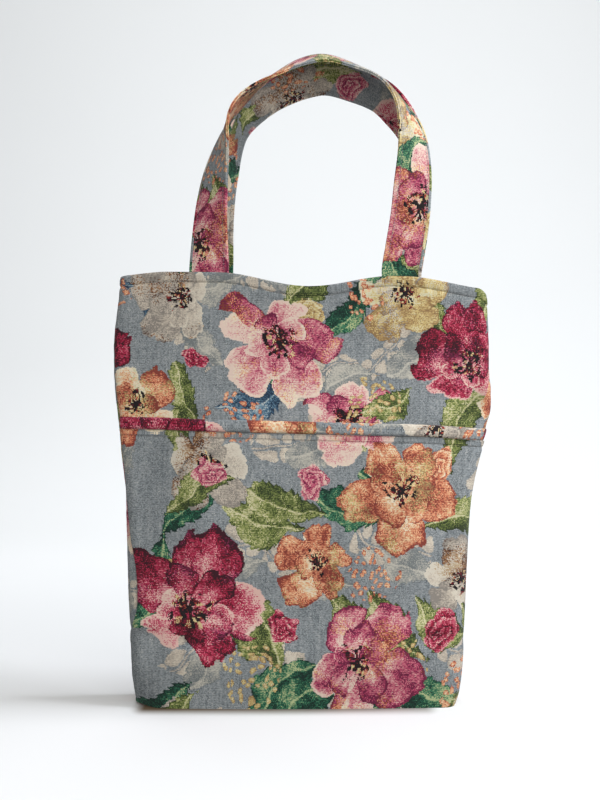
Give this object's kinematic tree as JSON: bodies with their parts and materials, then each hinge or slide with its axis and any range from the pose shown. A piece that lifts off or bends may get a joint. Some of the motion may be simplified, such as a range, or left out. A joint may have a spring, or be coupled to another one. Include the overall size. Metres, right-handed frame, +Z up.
{
  "type": "shopper bag",
  "caption": "Lined tapestry cloth tote with a flat stiffened base, a wide front pocket with a padded edge, and flat padded handles that fold down over the sides.",
  "frame": {"origin": "centre of the bounding box's plan, at the underside of the base", "axes": "+Z up; +X to the right as seen from the pocket side; the pocket side faces -Y"},
  "size_m": [0.343, 0.0734, 0.5896],
  "materials": {
    "tapestry": "woven matte",
    "pocket_tapestry": "woven matte",
    "roll_cloth": "woven matte",
    "strap_tapestry": "woven matte",
    "lining_cloth": "plain woven",
    "base_board": "plain",
    "handle_core": "webbing"
  },
  "bodies": {
    "bag": {"base_panel": "tapestry", "base_board": "base_board", "base_lining": "lining_cloth", "front_panel": "tapestry", "front_facing": "tapestry", "front_lining": "lining_cloth", "front_handle_end_left": "strap_tapestry", "front_handle_end_right": "strap_tapestry", "back_panel": "tapestry", "back_facing": "tapestry", "back_lining": "lining_cloth", "back_handle_end_left": "strap_tapestry", "back_handle_end_right": "strap_tapestry", "pocket_panel": "pocket_tapestry", "pocket_lining": "lining_cloth", "pocket_mouth_roll": "roll_cloth"},
    "front_carrier": {"front_handle": "strap_tapestry", "front_handle_core": "handle_core"},
    "back_carrier": {"back_handle": "strap_tapestry", "back_handle_core": "handle_core"}
  },
  "joints": [
    {"name": "front_handle_fold", "type": "hinge", "parent": "bag", "child": "front_carrier", "pos_m": [0.0007, -0.0164, 0.392], "axis": [1, 0, 0], "range_deg": [0, 165]},
    {"name": "back_handle_fold", "type": "hinge", "parent": "bag", "child": "back_carrier", "pos_m": [0.0032, 0.0254, 0.392], "axis": [-1, 0, 0], "range_deg": [0, 165]}
  ]
}
